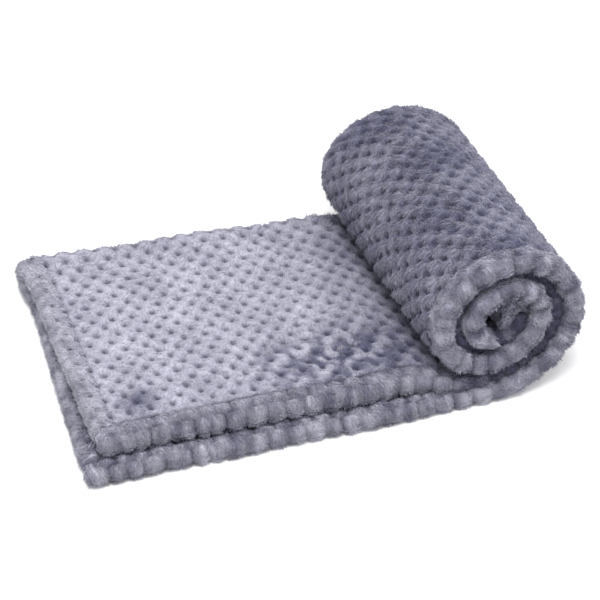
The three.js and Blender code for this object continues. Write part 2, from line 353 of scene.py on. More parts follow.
def leaf_middle(path, width, half):
    """Middle surface of the cloth: the lower leaf, round the back fold, and back along the upper leaf."""
    rise = fold_rise(path, WIDTH, half)
    turn_start = WIDTH - stack_height(path, WIDTH) / 2
    arc = np.pi * fold_rise(path, WIDTH, LEAF_LOFT / 2)
    around = np.clip((width - turn_start) / arc, 0, 1) * np.pi
    before = np.minimum(width, turn_start)
    beyond = np.maximum(width - turn_start - arc, 0)
    across = before - beyond + rise * np.sin(around)
    height = stack_height(path, across)
    depth = height / 2 - (height / 2 - half) * np.cos(around)
    upper = smooth((around / np.pi - UPPER_FROM_ARC) / (1 - UPPER_FROM_ARC))
    point = place(path, across, depth)
    shape_free_end(point, path, across, upper)
    shape_near_edge(point, path, across, upper)
    return point


def frame_at(path, width, half):
    """Middle point of the cloth and the direction out of its outer face."""
    point = leaf_middle(path, width, half)
    along = leaf_middle(path + SLOPE_STEP, width, half) - leaf_middle(path - SLOPE_STEP, width, half)
    over = leaf_middle(path, width + SLOPE_STEP, half) - leaf_middle(path, width - SLOPE_STEP, half)
    return point, crossed(over, along)


def total_width():
    """Width of the whole cloth, hems turned, from the lower near edge round to the upper near edge."""
    height = stack_height(0.0, WIDTH)
    return 2 * (WIDTH - height / 2) + np.pi * (height / 2 - LEAF_LOFT / 2) - UPPER_SETBACK


CLOTH_WIDTH = float(total_width())
FOLD_BEGIN = WIDTH - FOLD_OVERLAP
FOLD_END = CLOTH_WIDTH - (WIDTH - UPPER_SETBACK) + FOLD_OVERLAP


def lattice_along(path, upper_share):
    """Distance along the cloth itself, which is longer in the roll's outer leaf than in its inner one."""
    wound = np.maximum(path - FOOT_END, 0)
    turns = turns_wound(wound, MID_DEPTH)
    depth = MID_DEPTH + (upper_share - 0.5) * LEAF_LOFT
    return np.minimum(path, FOOT_END) + wound_length(turns, depth)


def upper_share(width):
    return smooth((width - FOLD_BEGIN) / (FOLD_END - FOLD_BEGIN))


def tuft_phase(path, width):
    """1 in the pits between tufts and -1 on the tufts."""
    along = lattice_along(path, upper_share(width))
    x = along + TUFT_WANDER * ripple(along, width, TUFT_WANDER_ALONG, TUFT_SEED)
    y = width + TUFT_WANDER * ripple(along, width, TUFT_WANDER_ACROSS, TUFT_SEED + 1)
    return np.cos(TURN * x / TUFT_PITCH_ALONG) * np.cos(TURN * y / TUFT_PITCH_ACROSS)


def pit_depth(phase, wider=0.0):
    return smooth((phase - PIT_EDGE + PIT_WIDENING * wider) / PIT_SLOPE)


def past_crease(path):
    """0 where the leaves lie flat and 1 from just past the crease in front of the roll."""
    return smooth((path - FOOT_START) / PAST_CREASE_RAMP)


def panel_tufts(phase, path):
    """Shallow and nearly flat where the leaf lies flat, and rounder on the roll."""
    rolled = past_crease(path)
    rubbed = bump_of(path - 245 * MM, 60 * MM)
    valley = VALLEY_SINK + ROLL_VALLEY_SINK * rolled + RUBBED_VALLEY_SINK * rubbed
    pit = PIT_SINK + ROLL_PIT_SINK * rolled
    return TUFT_RISE * (1 + rolled) - pit * pit_depth(phase, rolled) - valley * smooth((phase + 0.6) / 1.2)


def hem_bumps(run, inset):
    """One row of long bumps round the edge and one along the seam: 0 in the creases and 1 on the bumps."""
    run = run + BUMP_WANDER * ripple(run, inset, BUMP_WANDER_LENGTH, HEM_SEED)
    row = np.abs(np.cos(1.5 * np.pi * inset / HEM_WIDTH)) ** 0.6
    even = np.abs(np.sin(np.pi * run / BUMP_PITCH))
    odd = np.abs(np.cos(np.pi * run / BUMP_PITCH))
    column = np.where(inset < HEM_WIDTH / 3, even, odd)
    uneven = 0.82 + 0.22 * ripple(run, inset, BUMP_SIZE_LENGTH, HEM_SEED + 1)
    return np.sqrt(np.clip(row, 0, 1) * np.clip(column, 0, 1)) * uneven


def pinched(distance, reach, least):
    """Share of the full loft at a distance from a sewn line."""
    inside = np.clip(distance / reach, 0, 1)
    return least + (1 - least) * np.sqrt(1 - (1 - inside) ** 2)


def slab(columns, rows):
    """A closed slab of two grids with walls between them, as (grid position, side) for every vertex."""
    bm = bmesh.new()
    bmesh.ops.create_grid(bm, x_segments=columns, y_segments=rows, size=1)
    bmesh.ops.solidify(bm, geom=bm.faces[:], thickness=0.1)
    bmesh.ops.recalc_face_normals(bm, faces=bm.faces[:])
    mesh = bpy.data.meshes.new("slab")
    bm.to_mesh(mesh)
    bm.free()
    spots = np.empty(len(mesh.vertices) * 3)
    mesh.vertices.foreach_get("co", spots)
    spots = spots.reshape(-1, 3)
    share = (spots[:, :2] + 1) / 2
    side = np.where(spots[:, 2] > (spots[:, 2].max() + spots[:, 2].min()) / 2, -1.0, 1.0)
    return mesh, share, side


def set_points(mesh, points):
    points[:, 2] = np.maximum(points[:, 2], 0)
    mesh.vertices.foreach_set("co", np.ascontiguousarray(points, dtype=np.float32).ravel())
    mesh.update()


def set_number(mesh, name, values):
    attribute = mesh.attributes.new(name, "FLOAT", "POINT")
    attribute.data.foreach_set("value", np.ascontiguousarray(values, dtype=np.float32))


def set_uv(mesh, name, spots):
    layer = mesh.uv_layers.new(name=name)
    corner = np.empty(len(mesh.loops), dtype=np.int32)
    mesh.loops.foreach_get("vertex_index", corner)
    layer.data.foreach_set("uv", np.ascontiguousarray(spots[corner], dtype=np.float32).ravel())


def add_object(name, mesh, material):
    mesh.name = name
    piece = bpy.data.objects.new(name, mesh)
    bpy.context.scene.collection.objects.link(piece)
    mesh.materials.append(material)
    return piece


def nap_shade(path, width):
    """Painted sheen and shade: how much light the brushed pile throws back, more on the flat top, less on the
    roll's reverse face.
    """
    on_top = smooth((FOOT_END - NAP_TURN - path) / NAP_TURN_RAMP)
    shade = ROLL_NAP_SHEEN + 0.12 * ripple(path, width, 60 * MM, NAP_SEED)
    flat_top = FLAT_NAP_SHEEN + 0.08 * ripple(path, width, 80 * MM, NAP_SEED + 1)
    # Painted shade: the flat top darker towards the roll and along the upper leaf's near edge.
    flat_top = flat_top - 0.34 * smooth((path - 235 * MM) / (80 * MM))
    across = CLOTH_WIDTH + UPPER_SETBACK - width
    flat_top = flat_top - 0.14 * bump_of(across, 50 * MM)
    # A rubbed, lumpy patch of real wear, painted darker as shade, and painted shade at a small pucker near
    # the free end.
    rubbed = bump_of(path - 238 * MM, 75 * MM) * bump_of(across - 62 * MM, 44 * MM)
    corner = bump_of(path - 52 * MM, 16 * MM) * bump_of(across - 52 * MM, 13 * MM)
    coarse = 0.7 * ripple(path, width, 24 * MM, NAP_SEED + 2)
    fine = 0.4 * ripple(path, width, 9 * MM, NAP_SEED + 3)
    rubbed = rubbed * smooth(0.6 + coarse + fine) + 0.8 * corner
    return shade + (flat_top - 0.66 * rubbed - shade) * upper_share(width) * on_top


def panel_shape(seam_paths, seam_widths, last_path=None, relief=1.0):
    """Shape of a tufted panel, dipped at its seams and rounded off where the cloth ends."""
    def shape(path, width, side):
        point, out = frame_at(path, width, LEAF_LOFT / 2)
        loft = LEAF_LOFT / 2 + relief * panel_tufts(tuft_phase(path, width), path)
        for line in seam_paths:
            loft = loft * pinched(np.abs(path - line), SEAM_REACH, END_SEAM_SHARE)
        for line in seam_widths:
            loft = loft * pinched(np.abs(width - line), SEAM_REACH, SIDE_SEAM_SHARE)
        if last_path is not None:
            loft = loft * pinched(last_path - path, CUT_REACH, CUT_SHARE)
        return point + out * (side * loft)[:, None]
    return shape


def hem_loft(path, upper):
    """Thickness of a turned edge: less in the roll than in front of it, with a swelling on the outer turn."""
    into_roll = smooth((path - FOOT_START) / (FOOT_END - FOOT_START))
    turns = turns_wound(np.maximum(path - FOOT_END, 0), MID_DEPTH)
    swell = ROLL_HEM_SWELL * bump_of(turns - ROLL_HEM_SWELL_TURN, ROLL_HEM_SWELL_SPAN)
    lower_loft = HEM_LOFT + (ROLL_HEM_LOFT - HEM_LOFT) * into_roll + swell
    upper_loft = HEM_LOFT + (ROLL_UPPER_HEM_LOFT - HEM_LOFT) * into_roll
    return lower_loft + (upper_loft - lower_loft) * upper


def hem_section(inset, half, side):
    """Half thickness of a turned edge: round at its outer edge, dipped and narrowed at its seam."""
    to_seam = HEM_WIDTH - inset
    edge = np.clip(1 - inset / HEM_ROUND_REACH, 0, 1)
    rounding = np.maximum(1 - edge ** HEM_ROUNDNESS, 1e-4) ** (1 / HEM_ROUNDNESS)
    before_seam = 1 - pinched(np.maximum(to_seam, 0), 6 * MM, 0)
    beyond_seam = 1 + np.clip(-to_seam / HEM_TUCK, 0, 1)
    outer = half - SEAM_DIP * np.where(to_seam > 0, before_seam, beyond_seam)
    at_seam = np.minimum(half, 0.9 * LEAF_LOFT - half)
    inner = at_seam + (half - at_seam) * smooth(to_seam / (9 * MM))
    return np.where(side > 0, outer, inner) * rounding


def hem_boldness(kind, path, width):
    """How boldly the bumps stand out: boldest by the near corners, soft along the rest of the free end."""
    uneven = 0.8 + 0.4 * ripple(path, width, 45 * MM, HEM_SEED + 2)
    uneven = uneven * (1 - 0.15 * smooth((path - FOOT_END) / (60 * MM)))
    if kind == "end":
        from_middle = np.abs(width - CLOTH_WIDTH / 2)
        uneven = uneven * (0.5 + 0.5 * smooth((from_middle - 150 * MM) / (90 * MM)))
    return uneven


def end_hem_pits(path, width, inset):
    """The tufts' pits run on over the hem of the free end, up to its rounded edge."""
    return pit_depth(tuft_phase(path, width)) * smooth((inset - 3 * MM) / (5 * MM))


def hem_place(kind, run, inset):
    if kind == "end":
        return inset, run
    return run, (inset if kind == "lower" else CLOTH_WIDTH - inset)


def hem_shape(kind, rounded_from=None, rounded_to=None):
    """Shape of a turned edge along the end, the lower side or the upper side, in its run and inset."""
    def shape(run, inset, side):
        path, width = hem_place(kind, run, inset)
        half = hem_loft(path, upper_share(width)) / 2
        if kind == "end":
            from_middle = np.abs(width - CLOTH_WIDTH / 2)
            half = half - END_HEM_THINNING * (1 - smooth((from_middle - 215 * MM) / (45 * MM)))
        point, out = frame_at(path, width, half)
        bumps = hem_bumps(run, inset)
        fade = smooth((HEM_WIDTH - inset) / (4 * MM))
        boldness = fade * hem_boldness(kind, path, width)
        loft = hem_section(inset, half, side) * (1 - BUMP_CREASE * boldness * (1 - bumps))
        loft = loft + BUMP_RISE * boldness * bumps
        if kind == "end":
            loft = loft - PIT_SINK * end_hem_pits(path, width, inset)
        if rounded_from is not None:
            loft = loft * pinched(run - rounded_from, HEM_END_REACH, HEM_END_SHARE)
        if rounded_to is not None:
            loft = loft * pinched(rounded_to - run, HEM_END_REACH, HEM_END_SHARE)
        push = BUMP_PUSH * (bumps - 0.5) * np.clip(1 - inset / (6 * MM), 0, 1)
        if kind == "end":
            point[:, 0] -= push
        else:
            point[:, 1] -= push
        return point + out * (side * loft)[:, None]
    return shape


def curl_middle(run, width):
    """Middle of the upper leaf's inner end, which leaves the winding and curls up in the core."""
    steps = np.linspace(-CURL_LENGTH * 0.1, CURL_LENGTH * 1.1, CURL_STEPS)
    step = steps[1] - steps[0]
    radius = CURL_START_RADIUS + (CURL_END_RADIUS - CURL_START_RADIUS) * np.clip(steps / CURL_LENGTH, 0, 1)
    turned = np.cumsum(step / radius)
    turned = turned - np.interp(0, steps, turned)
    start_angle = TURN * UPPER_TURNS - np.pi / 2
    heading = start_angle + np.pi / 2 + CURL_LEAN + turned
    reach = ROLL_RADIUS - ROLL_PITCH * UPPER_TURNS - ROLL_STACK + LEAF_LOFT / 2
    x = np.cumsum(np.cos(heading)) * step
    z = np.cumsum(np.sin(heading)) * step
    x = x - np.interp(0, steps, x) + reach * math.cos(start_angle)
    z = z - np.interp(0, steps, z) + ROLL_FLATNESS * reach * math.sin(start_angle)
    across = CLOTH_WIDTH - width + UPPER_SETBACK
    here_x = AXIS_X + CURL_RIGHT + np.interp(run, steps, x)
    here_z = AXIS_Z + CURL_UP + np.interp(run, steps, z)
    everywhere = np.ones_like(run)
    point = in_row(FOOT_END + everywhere, across, here_x, here_z, everywhere)
    near = near_share(across)
    point[..., 1] += CURL_RECESS * near ** 2
    point[..., 2] += INNER_SHIFT * near ** 2
    point[..., 0] -= INNER_SHIFT * near ** 2
    return point


def curl_shape(run, width, side):
    """Tufted like the panels, and thicker where its own hem is turned at its inner end."""
    point = curl_middle(run, width)
    along = curl_middle(run + SLOPE_STEP, width) - curl_middle(run - SLOPE_STEP, width)
    over = curl_middle(run, width + SLOPE_STEP) - curl_middle(run, width - SLOPE_STEP)
    out = crossed(over, along)
    phase = tuft_phase(run + CURL_PHASE_SHIFT, width)
    loft = LEAF_LOFT / 2 + 0.8 * MM - 2 * MM * pit_depth(phase) - 1.5 * MM * smooth((phase + 0.6) / 1.2)
    edge = np.minimum(CLOTH_WIDTH - width, CURL_LENGTH - run)
    loft = loft + CURL_HEM_SWELL * smooth((run - CURL_LENGTH + CURL_HEM_START) / CURL_HEM_RAMP)
    return point + out * (side * loft * pinched(edge, CUT_REACH, CUT_SHARE))[:, None]


def cloth_piece(name, shape, first_range, second_range, size, rows, looks, edge_spacing=False):
    """A closed slab of cloth over a range of the shape's two coordinates."""
    columns = max(4, round((first_range[1] - first_range[0]) / size))
    mesh, share, side = slab(columns, rows)
    second_share = 1 - np.cos(share[:, 1] * np.pi / 2) if edge_spacing else share[:, 1]
    first = first_range[0] + share[:, 0] * (first_range[1] - first_range[0])
    second = second_range[0] + second_share * (second_range[1] - second_range[0])
    set_points(mesh, shape(first, second, side))
    path, width, nap_sheen, pit, material = looks(first, second)
    # The slab takes a fixed share of the painted root shade and a middling lock tone.
    set_looks(mesh, path, width, nap_sheen, pit, np.full(len(path), 0.3), np.full(len(path), 0.5))
    bake_map_of_slab(mesh, share, side)
    turn_outwards(mesh)
    return add_object(name, mesh, material)


def set_looks(mesh, path, width, nap_sheen, pit, tip, strand):
    # The nap value is painted sheen and shade; pit and tip carry painted shade in the pits and creases and at
    # the lock roots.
    set_number(mesh, "nap_sheen", nap_sheen)
    set_number(mesh, "pit", pit)
    set_number(mesh, "tip", tip)
    set_number(mesh, "strand", strand)
    set_uv(mesh, "cloth", np.stack([lattice_along(path, upper_share(width)), width], -1))


def bake_map_of_slab(mesh, share, side):
    """Outer and inner faces side by side, and the walls in a strip of their own."""
    corner = np.empty(len(mesh.loops), dtype=np.int32)
    mesh.loops.foreach_get("vertex_index", corner)
    sizes = np.empty(len(mesh.polygons), dtype=np.int32)
    mesh.polygons.foreach_get("loop_total", sizes)
    of_face = np.repeat(np.arange(len(sizes)), sizes)
    inner_corners = np.bincount(of_face, weights=side[corner] < 0)
    wall = ((inner_corners > 0) & (inner_corners < sizes))[of_face]
    u = np.where(wall, share[corner].sum(-1) / 2, share[corner, 0])
    v = np.where(side[corner] > 0, 0, 0.48) + share[corner, 1] * 0.46
    v = np.where(wall, np.where(side[corner] > 0, 0.97, 0.99), v)
    layer = mesh.uv_layers.new(name="OFBake")
    layer.data.foreach_set("uv", np.stack([u, v], -1).astype(np.float32).ravel())
    mesh.polygons.foreach_set("use_smooth", inner_corners % sizes == 0)


def turn_outwards(mesh):
    bm = bmesh.new()
    bm.from_mesh(mesh)
    bmesh.ops.recalc_face_normals(bm, faces=bm.faces[:])
    bm.to_mesh(mesh)
    bm.free()


def crossed(first, second):
    out = np.cross(first, second)
    return out / (np.linalg.norm(out, axis=-1, keepdims=True) + 1e-12)


def copies(name, shape_maker, count):
    """A mesh that holds many copies of one small shape, with each copy's vertices together."""
    bm = bmesh.new()
    shape_maker(bm)
    mesh = bpy.data.meshes.new(name)
    bm.to_mesh(mesh)
    bm.free()
    small = np.empty(len(mesh.vertices) * 3)
    mesh.vertices.foreach_get("co", small)
    holder = bpy.data.objects.new(name, mesh)
    bpy.context.scene.collection.objects.link(holder)
    repeat = holder.modifiers.new("repeat", "ARRAY")
    repeat.count = count
    repeat.use_relative_offset = False
    repeat.use_constant_offset = True
    repeat.constant_offset_displace = (0, 0, 1)
    evaluated = holder.evaluated_get(bpy.context.evaluated_depsgraph_get())
    many = bpy.data.meshes.new_from_object(evaluated)
    bpy.data.objects.remove(holder)
    bpy.data.meshes.remove(mesh)
    return many, small.reshape(-1, 3)


def lock_shape(bm):
    bmesh.ops.create_cone(bm, cap_ends=True, cap_tris=False, segments=3, radius1=1, radius2=0, depth=1)


def stitch_shape(bm):
    bmesh.ops.create_uvsphere(bm, u_segments=6, v_segments=4, radius=1)


def surface_frame(shape, first, second, side):
    """Points of a finished surface, its outward direction and its two directions in the cloth."""
    point = shape(first, second, side)
    along = shape(first + FUR_SLOPE_STEP, second, side) - shape(first - FUR_SLOPE_STEP, second, side)
    over = shape(first, second + FUR_SLOPE_STEP, side) - shape(first, second - FUR_SLOPE_STEP, side)
    along /= np.linalg.norm(along, axis=-1, keepdims=True) + 1e-12
    over /= np.linalg.norm(over, axis=-1, keepdims=True) + 1e-12
    return point, crossed(over, along) * side[:, None], along, over


def pile(name, shape, first_range, second_range, side, looks, length, lift, heading, slot, seed, density=1.0,
         turned=1, variety=1, cleared=0.7):
    """Brushed pile: thousands of thin locks rooted in the cloth and combed along the nap."""
    random = np.random.default_rng(seed)
    area = (first_range[1] - first_range[0]) * (second_range[1] - second_range[0])
    count = int(area * PILE_PER_MM2 * density / MM ** 2)
    first = random.uniform(*first_range, count)
    second = random.uniform(*second_range, count)
    if slot == "plush_hem":
        second = second_range[1] * (1 - np.cos(second / second_range[1] * np.pi / 2))
    sides = np.full(count, float(side))
    point, out, along, over = surface_frame(shape, first, second, sides)
    out = out * turned
    combed = heading + 0.5 * ripple(first, second, 30 * MM, seed + 1)
    combed = combed + 0.35 * ripple(first, second, 9 * MM, seed + 2)
    combed = combed + random.normal(0, 0.22, count)
    rise = lift + 0.16 * ripple(first, second, 8 * MM, seed + 3) + random.normal(0, 0.12, count)
    rise = np.clip(rise, 0.06, 1.3)[:, None]
    lay = along * np.cos(combed)[:, None] + over * np.sin(combed)[:, None]
    lay = lay - out * (lay * out).sum(-1, keepdims=True)
    lay /= np.linalg.norm(lay, axis=-1, keepdims=True) + 1e-12
    path, width, nap_sheen, pit, material = looks(first, second)
    lengths = length * random.uniform(0.6, 1.25, count) * (1 - cleared * pit)
    reach = (lay * np.cos(rise) + out * np.sin(rise)) * lengths[:, None]
    sideways = crossed(out, lay)
    thick = crossed(reach, sideways)
    half_width = random.uniform(PILE_THINNEST, PILE_THICKEST, count)[:, None] * MM
    mesh, small = copies(name, lock_shape, count)
    root = point - out * PILE_ROOT_DEPTH
    spots = root[:, None] + (small[None, :, 2:] + 0.5) * reach[:, None]
    spots = spots + small[None, :, :1] * (sideways * half_width)[:, None]
    spots = spots + small[None, :, 1:2] * (thick * half_width)[:, None]
    set_points(mesh, spots.reshape(-1, 3))
    each = len(small)
    strand = random.uniform(0, 1, count) * variety + 0.5 * (1 - variety)
    # 0 at each lock's root and 1 at its tip; the material paints shade at the roots from it.
    tip = np.tile(small[:, 2] + 0.5, count)
    path, width, nap_sheen, pit, strand = (np.repeat(values, each) for values in (path, width, nap_sheen, pit, strand))
    set_looks(mesh, path, width, nap_sheen, pit, tip, strand)
    set_uv(mesh, "OFBake", cells(count, small[:, :2] * [0.45, 0.2] + small[:, 2:] * [0, 0.5] + [0.5, 0.45]))
    mesh.polygons.foreach_set("use_smooth", np.ones(len(mesh.polygons), dtype=bool))
    turn_outwards(mesh)
    return add_object(name, mesh, material)


def cells(count, spots):
    """Bake map with a square cell of its own for each copy."""
    across = math.ceil(math.sqrt(count))
    number = np.arange(count)
    corner = np.stack([number % across, number // across], -1)
    return ((corner[:, None] + 0.05 + 0.9 * spots[None]) / across).reshape(-1, 2)


def stitches(name, shape, runs, inset, turned):
    """A run of stitches sunk in the seam."""
    count = max(2, int((runs[1] - runs[0]) / STITCH_PITCH))
    run = runs[0] + (np.arange(count) + 0.5) * STITCH_PITCH
    point, out, along, over = surface_frame(shape, run, np.full(count, inset), np.ones(count))
    out = out * turned
    mesh, small = copies(name, stitch_shape, count)
    spots = (point + out * STITCH_PROUD)[:, None] + small[None, :, :1] * (along * STITCH_LENGTH)[:, None]
    spots = spots + small[None, :, 1:2] * (over * STITCH_THICKNESS)[:, None]
    spots = spots + small[None, :, 2:] * (out * STITCH_THICKNESS)[:, None]
    set_points(mesh, spots.reshape(-1, 3))
    set_uv(mesh, "OFBake", cells(count, np.clip(small[:, :2] * 0.4 + 0.5 + small[:, 2:] * 0.08, 0, 1)))
    turn_outwards(mesh)
    return add_object(name, mesh, thread)


def number_from(nodes, name):
    node = nodes.new("ShaderNodeAttribute")
    node.attribute_name = name
    return node.outputs["Fac"]


def noise_from(nodes, links, where, scale, detail):
    noise = nodes.new("ShaderNodeTexNoise")
    noise.inputs["Scale"].default_value = scale
    noise.inputs["Detail"].default_value = detail
    noise.inputs["Roughness"].default_value = 0.65
    links.new(where, noise.inputs["Vector"])
    return noise.outputs["Fac"]


def weighted_sum(nodes, links, start, parts):
    """start plus each value times its weight, kept between 0 and 1."""
    total = None
    for value, weight in parts:
        step = nodes.new("ShaderNodeMath")
        step.operation = "MULTIPLY_ADD"
        step.inputs[1].default_value = weight
        step.inputs[2].default_value = start
        links.new(value, step.inputs[0])
        if total is not None:
            links.new(total, step.inputs[2])
        total = step.outputs["Value"]
        last = step
    last.use_clamp = True
    return total


def blended_colour(nodes, links, share, first, second):
    mix = nodes.new("ShaderNodeMix")
    mix.data_type = "RGBA"
    links.new(share, mix.inputs[0])
    for socket, colour in ((mix.inputs[6], first), (mix.inputs[7], second)):
        if isinstance(colour, tuple):
            socket.default_value = colour + (1,)
        else:
            links.new(colour, socket)
    return mix.outputs[2]


def fibre_material(name, dark, light, sheen):
    """Brushed plush with painted light: lighter or darker by the painted sheen of its nap, with painted shade
    at its roots and in its pits.
    """
    material = bpy.data.materials.new(name)
    material.use_nodes = True
    nodes = material.node_tree.nodes
    links = material.node_tree.links
    shader = nodes["Principled BSDF"]
    shader.inputs["Roughness"].default_value = 0.9
    shader.inputs["Specular IOR Level"].default_value = 0.15
    shader.inputs["Sheen Weight"].default_value = sheen
    shader.inputs["Sheen Roughness"].default_value = 0.4
    shader.inputs["Sheen Tint"].default_value = (0.85, 0.85, 0.95, 1)
    where = nodes.new("ShaderNodeUVMap")
    where.uv_map = "cloth"
    combed = nodes.new("ShaderNodeMapping")
    combed.inputs["Scale"].default_value = (2.4, 0.8, 1)
    links.new(where.outputs["UV"], combed.inputs["Vector"])
    fibre = noise_from(nodes, links, combed.outputs["Vector"], 560, 4)
    cloud = noise_from(nodes, links, where.outputs["UV"], 75, 3)
    nap_sheen = number_from(nodes, "nap_sheen")
    tip = number_from(nodes, "tip")
    strand = number_from(nodes, "strand")
    # Painted sheen of the nap and painted shade at the lock roots, with random tone from the noises and from
    # each lock
    parts = [(nap_sheen, 1.0), (fibre, 0.40), (cloud, 0.40), (tip, 0.34), (strand, 0.34)]
    lightness = weighted_sum(nodes, links, -0.70, parts)
    pile_colour = blended_colour(nodes, links, lightness, dark, light)
    # Painted shadow for the pits, the creases between bumps and the seams
    shadow = tuple(0.42 * part for part in dark)
    colour = blended_colour(nodes, links, number_from(nodes, "pit"), pile_colour, shadow)
    links.new(colour, shader.inputs["Base Color"])
    bump = nodes.new("ShaderNodeBump")
    bump.inputs["Strength"].default_value = 0.5
    bump.inputs["Distance"].default_value = 0.001
    links.new(fibre, bump.inputs["Height"])
    links.new(bump.outputs["Normal"], shader.inputs["Normal"])
    return material


def thread_material():
    material = bpy.data.materials.new("twisted_thread")
    material.use_nodes = True
    nodes = material.node_tree.nodes
    links = material.node_tree.links
    shader = nodes["Principled BSDF"]
    shader.inputs["Roughness"].default_value = 0.6
    shader.inputs["Sheen Weight"].default_value = 0.2
    where = nodes.new("ShaderNodeTexCoord")
    twist = noise_from(nodes, links, where.outputs["Object"], 1800, 2)
    dark_thread = (0.05, 0.05, 0.09)
    light_thread = (0.16, 0.16, 0.22)
    colour = blended_colour(nodes, links, twist, dark_thread, light_thread)
    links.new(colour, shader.inputs["Base Color"])
    return material


def stage_material():
    material = bpy.data.materials.new("pale_floor")
    material.use_nodes = True
    shader = material.node_tree.nodes["Principled BSDF"]
    shader.inputs["Base Color"].default_value = (0.92, 0.92, 0.92, 1)
    shader.inputs["Roughness"].default_value = 0.9
    return material


def build_camera():
    """Looks down on the free end and the roll's near end from the front left."""
    azimuth = math.radians(-17.6)
    elevation = math.radians(35.7)
    distance = 1.4294
    target = Vector((FREE_X + 234 * MM, NEAR_Y + 145.5 * MM, 44.5 * MM))
    level = math.cos(elevation)
    back = Vector((math.sin(azimuth) * level, -math.cos(azimuth) * level, math.sin(elevation)))
    data = bpy.data.cameras.new("studio_camera")
    data.lens = 91.25
    data.sensor_width = 36
    data.clip_end = 50
    camera = bpy.data.objects.new("studio_camera", data)
    bpy.context.scene.collection.objects.link(camera)
    camera.location = target + back * distance
    camera.rotation_euler = back.to_track_quat("Z", "Y").to_euler()
    bpy.context.scene.camera = camera


def build_light(name, location, size, power):
    data = bpy.data.lights.new(name, "AREA")
    data.shape = "DISK"
    data.size = size
    data.energy = power
    lamp = bpy.data.objects.new(name, data)
    bpy.context.scene.collection.objects.link(lamp)
    lamp.location = location
    lamp.rotation_euler = Vector(location).to_track_quat("Z", "Y").to_euler()


def build_stage():
    bm = bmesh.new()
    bmesh.ops.create_grid(bm, x_segments=1, y_segments=1, size=6)
    mesh = bpy.data.meshes.new("floor")
    bm.to_mesh(mesh)
    bm.free()
    floor = bpy.data.objects.new("floor", mesh)
    bpy.context.scene.collection.objects.link(floor)
    mesh.materials.append(stage_material())
    world = bpy.data.worlds.new("studio")
    world.use_nodes = True
    world.node_tree.nodes["Background"].inputs["Color"].default_value = (1, 1, 1, 1)
    world.node_tree.nodes["Background"].inputs["Strength"].default_value = 0.9
    bpy.context.scene.world = world
    build_light("key", (-0.3, -0.9, 1.8), size=0.8, power=34)
    build_light("fill", (1.5, -1.3, 0.9), size=1.4, power=10)


def bend_over_crease(piece):
    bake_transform(piece)


build_camera()
build_stage()

view = bpy.context.scene.view_settings
view.view_transform = "Standard"

# The one lavender-grey pile as painted shade and as painted sheen; the material blends between them.
PILE_IN_SHADE = (0.097, 0.097, 0.160)
PILE_IN_SHEEN = (0.575, 0.57, 0.66)
PILE_SHEEN = 0.3
cloth = fibre_material("plush_pile", PILE_IN_SHADE, PILE_IN_SHEEN, PILE_SHEEN)
hem_cloth = fibre_material("plush_hem_pile", PILE_IN_SHADE, PILE_IN_SHEEN, PILE_SHEEN)
thread = thread_material()

LOWER_SEAM = HEM_WIDTH
UPPER_SEAM = CLOTH_WIDTH - HEM_WIDTH
LOWER_END = float(path_of_turns(LOWER_TURNS))
UPPER_END = float(path_of_turns(UPPER_TURNS))
FOLD_LAST = float(path_of_turns(FOLD_TURNS))
HALF_TURN = float(path_of_turns(0.5))
HEM_DEPTH = HEM_WIDTH + HEM_TUCK
FREE = (HEM_WIDTH, FOOT_START)
LOWER = (LOWER_SEAM, FOLD_BEGIN)
FOLD = (FOLD_BEGIN, FOLD_END)
UPPER = (FOLD_END, UPPER_SEAM)


def seam_crease_shade(where, seam, run):
    """Painted shade: a dark thin line in the crease along a sewn seam, broken here and there."""
    broken = smooth(0.6 + 0.6 * ripple(run, 0, 33 * MM, SEAM_SEED))
    return 0.7 * broken * bump_of(where - seam, 1.7 * MM)


def outer_right(path):
    """1 on the roll's outer right and top side, where the pits are wide and their painted shade dark."""
    return smooth((path - FOOT_END) / (20 * MM)) * (1 - smooth((path - HALF_TURN - 20 * MM) / (70 * MM)))


def panel_looks(path, width):
    """Painted sheen and pit shade of the panels: the painted pit shade is darkest on the roll's right, and
    softest on its left.
    """
    phase = tuft_phase(path, width)
    rolled = past_crease(path)
    right = outer_right(path)
    pit = pit_depth(phase, 0.6 * rolled + 0.45 * right) * (1 - 0.35 * smooth((path - HALF_TURN) / (60 * MM)))
    pit = pit * (0.82 + 0.18 * rolled)
    pit = pit + seam_crease_shade(width, LOWER_SEAM, path) + seam_crease_shade(width, UPPER_SEAM, path)
    # Painted shade in the valleys round the pits, and a little more on the roll's right
    nap_sheen = nap_shade(path, width) + 0.03 - 0.20 * smooth((phase + 0.45) / 1.1) - 0.06 * right
    return path, width, nap_sheen, np.clip(pit, 0, 1), cloth


def hem_nap_sheen(kind, path, width, upper):
    """Painted sheen and shade of the hems: mottled, darker on the near side and in the roll, and darkest on
    the upper leaf's hem in the roll.
    """
    nap_sheen = HEM_NAP_SHEEN + 0.20 * ripple(path, width, 30 * MM, HEM_NAP_SEED) - 0.1 * upper
    nap_sheen = nap_sheen + 0.22 * ripple(path, width, 12 * MM, HEM_NAP_SEED + 1)
    if kind == "end":
        nap_sheen = nap_sheen + 0.32 * upper
    else:
        nap_sheen = nap_sheen - 0.03 * smooth((FOOT_END + 40 * MM - path) / (60 * MM))
    nap_sheen = nap_sheen - 0.16 * smooth((path - FOOT_END) / (60 * MM))
    return nap_sheen - 0.56 * upper * smooth((path - FOOT_START - 30 * MM) / (60 * MM))


